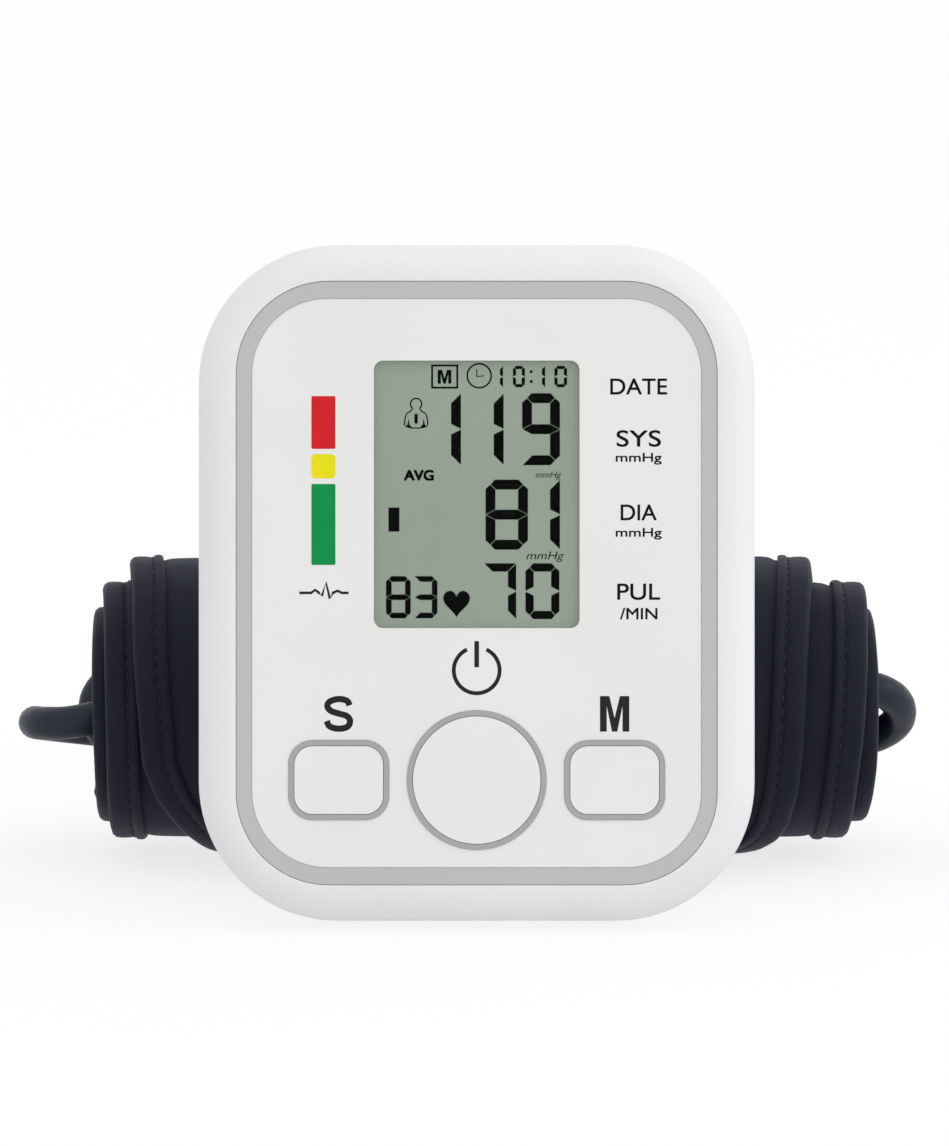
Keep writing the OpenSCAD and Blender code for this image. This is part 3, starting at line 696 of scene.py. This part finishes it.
NAVY = (0.0082, 0.0094, 0.0198)
CLOTH_LOOK = woven("cuff_cloth", NAVY, 0.62, 0.42, 0.05, 0.08)
BINDING_LOOK = woven("cuff_binding", shade(NAVY, 0.97), 0.55, 0.6, 0.06, 0.07)
THREAD_LOOK = soft_rubber("cuff_thread", (0.014, 0.016, 0.028), 0.5, 0.25)
HOOK_LOOK = soft_rubber("hook_tape", (0.008, 0.008, 0.01), 0.8)


def make_cuff():
    outline = make_outline()
    panel = make_panel()
    binding = make_binding(outline)
    stitches = make_stitches(outline)
    hook = make_hook_strip()
    for piece in (panel, binding, stitches, hook):
        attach(piece, "cuff")
    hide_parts("cuff_cover")
    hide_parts("cuff_bindings")
    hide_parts("hook_patch")


make_cuff()


# Print and display --------------------------------------------------------------

# Places on the face are millimetres from its middle; heights are above its plane.
PANEL_TOP = -0.3
GLASS_TOP = -1.65
INK = 0.03


def flat_curve(name, loops):
    """A filled flat curve; a loop inside another one is a hole."""
    curve = bpy.data.curves.new(name, "CURVE")
    curve.dimensions = "2D"
    curve.fill_mode = "BOTH"
    for loop in loops:
        spline = curve.splines.new("POLY")
        spline.points.add(len(loop) - 1)
        for point, (x, y) in zip(spline.points, loop):
            point.co = (x, y, 0, 1)
        spline.use_cyclic_u = True
    return curve


def text_curve(name, text, height, slant=0.0):
    curve = bpy.data.curves.new(name, "FONT")
    curve.body = text
    curve.align_x = "CENTER"
    curve.align_y = "CENTER"
    curve.shear = slant
    curve.size = height
    return curve


def curve_mesh(curve, thick, width=None, height=None, centre=(0, 0)):
    """A solid mesh from a flat curve, fitted to a width and height round a centre."""
    curve.extrude = thick / 2
    carrier = bpy.data.objects.new("carrier", curve)
    bpy.context.scene.collection.objects.link(carrier)
    bpy.context.view_layer.update()
    graph = bpy.context.evaluated_depsgraph_get()
    mesh = bpy.data.meshes.new_from_object(carrier.evaluated_get(graph))
    bpy.data.objects.remove(carrier)
    xs = [v.co.x for v in mesh.vertices]
    ys = [v.co.y for v in mesh.vertices]
    if height:
        low, high = Vector((min(xs), min(ys))), Vector((max(xs), max(ys)))
        size, middle = high - low, (high + low) / 2
        grow_y = height / size.y
        grow_x = width / size.x if width else grow_y
        for v in mesh.vertices:
            v.co.x = (v.co.x - middle.x) * grow_x + centre[0]
            v.co.y = (v.co.y - middle.y) * grow_y + centre[1]
    return mesh


def face_piece(name, meshes, top, material, body, x=0.0):
    """One piece of print, lying on the face at the height given, moved along by x."""
    shape = bmesh.new()
    for mesh in meshes:
        shape.from_mesh(mesh)
        bpy.data.meshes.remove(mesh)
    shape.transform(FACE_MM @ Matrix.Translation((x, 0, top)))
    bmesh.ops.recalc_face_normals(shape, faces=shape.faces)
    mesh = bpy.data.meshes.new(name)
    shape.to_mesh(mesh)
    shape.free()
    mesh.materials.append(material)
    made = bpy.data.objects.new(name, mesh)
    bpy.context.scene.collection.objects.link(made)
    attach(made, body)
    return made


def box_loop(x0, y0, x1, y1, r=0.0):
    if not r:
        return [(x0, y0), (x1, y0), (x1, y1), (x0, y1)]
    loop = []
    for cx, cy, start in ((x1 - r, y1 - r, 0), (x0 + r, y1 - r, 90), (x0 + r, y0 + r, 180),
                          (x1 - r, y0 + r, 270)):
        for k in range(5):
            a = math.radians(start + 22.5 * k)
            loop.append((cx + r * math.cos(a), cy + r * math.sin(a)))
    return loop


def ring_loops(x, y, r, line, first=0, last=360, steps=48):
    """A ring, or part of one if its angles stop short of a full turn."""
    span = [math.radians(first + (last - first) * k / steps) for k in range(steps + 1)]
    outer = [(x + r * math.cos(a), y + r * math.sin(a)) for a in span]
    inner = [(x + (r - line) * math.cos(a), y + (r - line) * math.sin(a)) for a in span]
    if last - first == 360:
        return [outer[:-1], inner[:-1]]
    return [outer + inner[::-1]]


def stroke(points, line):
    """A band of even width along points."""
    left, right = [], []
    for i, p in enumerate(points):
        a = Vector(points[max(i - 1, 0)])
        b = Vector(points[min(i + 1, len(points) - 1)])
        way = (b - a).normalized()
        side = Vector((-way.y, way.x)) * line / 2
        left.append((p[0] + side.x, p[1] + side.y))
        right.append((p[0] - side.x, p[1] - side.y))
    return left + right[::-1]


SEGMENTS = {
    "0": "abcdef", "1": "bc", "3": "abcdg", "7": "abc", "8": "abcdefg", "9": "abcdfg",
}


def corner(x, y, dx, dy, line, c, cut):
    """Where two bars meet: the end of the level bar and that of the upright one."""
    level, upright = [(x + dx * c, y)], [(x, y + dy * c)]
    if cut:
        level = [(x + dx * cut, y), (x + dx * (cut / 2 + c), y + dy * cut / 2)]
        upright = [(x, y + dy * cut), (x + dx * cut / 2, y + dy * (cut / 2 + c))]
    level.append((x + dx * (line + c), y + dy * line))
    upright.append((x + dx * line, y + dy * (line + c)))
    return level, upright


def digit_loops(sign, x0, y0, x1, y1, line, break_w):
    """Seven-segment digit: slanted joints, and cut corners where two bars meet."""
    lit = SEGMENTS[sign]
    ym, h, c = (y0 + y1) / 2, line / 2, break_w / 2
    ends = {}
    for level, upright, x, y, dx, dy in (("a", "f", x0, y1, 1, -1), ("a", "b", x1, y1, -1, -1),
                                         ("d", "e", x0, y0, 1, 1), ("d", "c", x1, y0, -1, 1)):
        meet = level in lit and upright in lit and sign != "7"
        along_bar, up_bar = corner(x, y, dx, dy, line, c, line * 0.95 if meet else 0)
        ends.setdefault(level, []).append(along_bar)
        ends[upright] = up_bar + [(x + dx * line, ym - dy * (h + c)), (x, ym - dy * c)]
    bars = {k: ends[k] for k in "bcef"}
    for k in "ad":
        left, right = ends[k]
        bars[k] = left + right[::-1]
    bars["g"] = [(x0 + c, ym), (x0 + line, ym + h), (x1 - line, ym + h), (x1 - c, ym),
                 (x1 - line, ym - h), (x0 + line, ym - h)]
    return [bars[k] for k in lit]


def number_meshes(digits, y0, y1, line, break_w=0.14):
    """Meshes of (sign, left end, right end) digits that share a height."""
    made = []
    for sign, x0, x1 in digits:
        for bar in digit_loops(sign, x0, y0, x1, y1, line, break_w):
            made.append(curve_mesh(flat_curve("bar", [bar]), INK))
    return made


def text_mesh(text, centre, height, width=None, slant=0.0):
    return curve_mesh(text_curve("text", text, height, slant), INK, width, height, centre)


def bold_text(text, x, y, height, width, extra):
    """Text whose strokes are wider by extra: four copies, each a little to one corner."""
    shift = extra / 2
    return [text_mesh(text, (x + a * shift, y + b * shift), height - extra, width - extra)
            for a in (-1, 1) for b in (-1, 1)]


LETTER_M = [
    (0, 0), (0, 1), (0.32, 1), (0.5, 0.38), (0.68, 1), (1, 1), (1, 0), (0.77, 0), (0.77, 0.72),
    (0.59, 0), (0.41, 0), (0.23, 0.72), (0.23, 0),
]
LETTER_S = [
    (0.86, 0.76), (0.78, 0.9), (0.5, 0.96), (0.2, 0.88), (0.12, 0.73), (0.24, 0.59),
    (0.5, 0.51), (0.77, 0.43), (0.88, 0.28), (0.79, 0.1), (0.5, 0.04), (0.2, 0.11), (0.1, 0.28),
]


def bold_m(x, y, w, h):
    loop = [(x + (u - 0.5) * w, y + (v - 0.5) * h) for u, v in LETTER_M]
    return curve_mesh(flat_curve("letter_m", [loop]), INK)


def bold_s(x, y, w, h, line):
    line_box = Vector((w - line, h - line))
    points = [Vector((x + (u - 0.5) * line_box.x, y + (v - 0.5) * line_box.y))
              for u, v in LETTER_S]
    return curve_mesh(flat_curve("letter_s", [stroke(smooth_route(points, 6), line)]), INK)


def pulse_line(x0, x1, y, rise):
    """A generic heartbeat trace."""
    shape = [(0, 0), (0.24, 0), (0.32, 0.28), (0.4, 0), (0.46, -0.3), (0.54, 1), (0.62, -0.55),
             (0.68, 0), (0.78, 0.2), (0.86, 0), (1, 0)]
    return [(x0 + (x1 - x0) * u, y + rise * v) for u, v in shape]


LABEL_X = 29.6


def make_prints():
    colours = (
        ("band_red", 24.5, 34.15, 0.25, BAND_RED),
        ("band_yellow", 19.1, 23.55, 0.7, BAND_YELLOW),
        ("band_green", 3.3, 18.1, 0.25, BAND_GREEN),
    )
    for name, low, high, r, material in colours:
        loop = box_loop(-30.2, low, -25.8, high, r)
        face_piece(name, [curve_mesh(flat_curve(name, [loop]), INK)], PANEL_TOP, material,
                   "monitor")
    power = ring_loops(0, -15.95, 4.55, 0.72, 115, 425)
    icons = [
        curve_mesh(flat_curve("power", power), INK),
        curve_mesh(flat_curve("power_bar", [box_loop(-0.43, -15.4, 0.43, -10.6, 0.2)]), INK),
        curve_mesh(flat_curve("pulse", [stroke(pulse_line(-32.4, -23.4, -1.8, 1.9), 0.5)]), INK),
    ]
    labels = (
        ("DATE", 35.9, 2.94, 10.4), ("SYS", 26.4, 3.05, 8.1), ("mmHg", 22.7, 2.14, 8.4),
        ("DIA", 12.9, 2.9, 6.6), ("mmHg", 9, 2.14, 8.4), ("PUL", -1.6, 3, 7.85),
        ("/MIN", -5.6, 2.14, 6.85),
    )
    words = [bold_s(-25.2, -23.9, 6.6, 7.05, 1.15), bold_m(25.2, -23.9, 5.35, 6.5)]
    for text, y, height, width in labels:
        words += bold_text(text, LABEL_X, y, height, width, 0.08)
    face_piece("face_print", icons + words, PANEL_TOP, PRINT_BLACK, "monitor")


def heart_loop(x, y, w, h, steps=40):
    loop = []
    for k in range(steps):
        a = 2 * math.pi * k / steps
        u = 16 * math.sin(a) ** 3
        v = 13 * math.cos(a) - 5 * math.cos(2 * a) - 2 * math.cos(3 * a) - math.cos(4 * a)
        loop.append((x + w * u / 32, y + h * (v + 2.5) / 29))
    return loop


# The whole reading sits a little to the left of the window's middle
READING_X = -0.28


def make_reading():
    """What the display shows: time, pressures, pulse and small signs."""
    meshes = []
    meshes += number_meshes((("1", -4.4, -2.6), ("1", 3.4, 5.2), ("9", 8.6, 15.5)), 21.55, 34.7, 1.8)
    meshes += number_meshes((("8", 1.9, 9.65), ("1", 13.7, 15.5)), 6.1, 18.9, 1.8)
    meshes += number_meshes((("7", 1.6, 7.5), ("0", 9.2, 15.4)), -6.6, 3.6, 1.5)
    meshes += number_meshes((("8", -16.3, -11.8), ("3", -11.1, -6.9)), -6.45, 1.25, 1.02, 0.1)
    clock = (("1", 4.6, 5.1), ("0", 6.9, 9.1), ("1", 12.3, 12.8), ("0", 14.5, 16.8))
    meshes += number_meshes(clock, 35.8, 39.7, 0.58, 0.07)
    loops = [
        [box_loop(10, 36.6, 10.5, 37.1)], [box_loop(10, 38.4, 10.5, 38.9)],
        ring_loops(0.74, 37.9, 2.34, 0.3),
        [stroke([(0.29, 39.13), (0.29, 37.73), (1.62, 37.9)], 0.22)],
        [box_loop(-8.05, 35.55, -3.1, 39.95), box_loop(-7.7, 35.9, -3.45, 39.6)],
        [box_loop(-15.85, 9.4, -13.85, 13.8)],
        ring_loops(-10.8, 32.75, 1.15, 0.26, -55, 235),
        [stroke([(-11.45, 31.85), (-11.9, 31.35), (-12.55, 31), (-12.8, 30.2), (-12.95, 29),
                 (-12.6, 28.6), (-12.3, 28.9), (-12.15, 30), (-12.1, 28.9), (-11.6, 28.35),
                 (-10, 28.35), (-9.5, 28.9), (-9.45, 30), (-9.3, 28.9), (-9, 28.6),
                 (-8.65, 29), (-8.8, 30.2), (-9.05, 31), (-9.7, 31.35), (-10.15, 31.85)], 0.24)],
        [heart_loop(-3.4, -3.9, 4.9, 5)],
    ]
    meshes += [curve_mesh(flat_curve("sign", loop), INK) for loop in loops]
    meshes += [
        bold_m(-5.6, 37.72, 2.5, 2.5),
        text_mesh("mmHg", (13.4, 19.65), 1.5, 4.7, 0.25),
        text_mesh("mmHg", (12.8, 4.8), 1.9, 6.9, 0.25),
    ]
    meshes += bold_text("AVG", -10.3, 19.7, 2, 5.5, 0.2)
    meshes += bold_text("1", -10.8, 30.05, 1.75, 0.6, 0.1)
    face_piece("reading", meshes, GLASS_TOP, SEGMENT_BLACK, "monitor", READING_X)


def inked(name, color, rough, shine=0.5):
    s = Surface(name, color, rough)
    s.set("Specular IOR Level", shine)
    s.tint(s.range(s.noise(300, 3), 0, 1), shade(color, 0.94), shade(color, 1.05))
    s.rough(s.noise(900, 2), rough - 0.05, rough + 0.05)
    s.bump(s.noise(4000, 2), 0.004)
    return s.material


BAND_RED = inked("band_red", (0.66, 0.0145, 0.0212), 0.6, 0.12)
BAND_YELLOW = inked("band_yellow", (0.82, 0.74, 0.0086), 0.6, 0.12)
BAND_GREEN = inked("band_green", (0.0021, 0.28, 0.063), 0.6, 0.12)
PRINT_BLACK = inked("print_black", (0.02, 0.02, 0.02), 0.6, 0.1)
SEGMENT_BLACK = inked("segment_black", (0.0015, 0.0022, 0.0015), 0.6, 0.02)


def reflective_glass():
    """The display's rear polariser: grey green with a fine sparkle."""
    color = (0.35, 0.43, 0.34)
    s = Surface("display_glass", color, 0.35)
    drift = s.noise(18, 2)
    s.tint(s.range(drift, 0, 1), shade(color, 0.95), shade(color, 1.05))
    s.rough(s.noise(500, 3), 0.3, 0.42)
    s.bump(s.noise(5000, 2), 0.004)
    return s.material


def clear_window():
    s = Surface("window", (0, 0, 0), 0.06)
    s.rough(s.noise(60, 2), 0.03, 0.09)
    s.bump(s.noise(25, 1), 0.01)
    s.set("Alpha", 0.045)
    s.set("IOR", 1.49)
    return s.material


def circuit_board():
    color = (0.02, 0.12, 0.045)
    s = Surface("circuit_board", color, 0.35)
    cells = s.node("ShaderNodeTexVoronoi", Scale=420)
    s.link(s.place(), cells.inputs["Vector"])
    lanes = s.range(cells.outputs["Distance"], 0, 1, 0.25, 0.3)
    s.tint(lanes, (0.05, 0.22, 0.09), color)
    s.rough(s.noise(300, 2), 0.28, 0.42)
    s.bump(lanes, 0.03)
    return s.material


def battery_wrap():
    """A plain dark cell sleeve with lighter bands."""
    color = (0.03, 0.035, 0.045)
    s = Surface("battery_wrap", color, 0.3)
    band = s.noise(30, 2, (8, 1, 1))
    s.tint(s.range(band, 0, 1, 0.5, 0.56), color, (0.06, 0.07, 0.09))
    s.rough(s.noise(200, 3), 0.22, 0.36)
    s.bump(s.noise(1500, 2), 0.01)
    return s.material


dress({
    "lcd_glass": reflective_glass(), "display_window": clear_window(),
    "main_board": circuit_board(),
})
dress(dict.fromkeys((f"battery_{number}" for number in range(1, 5)), battery_wrap()))

make_prints()
make_reading()
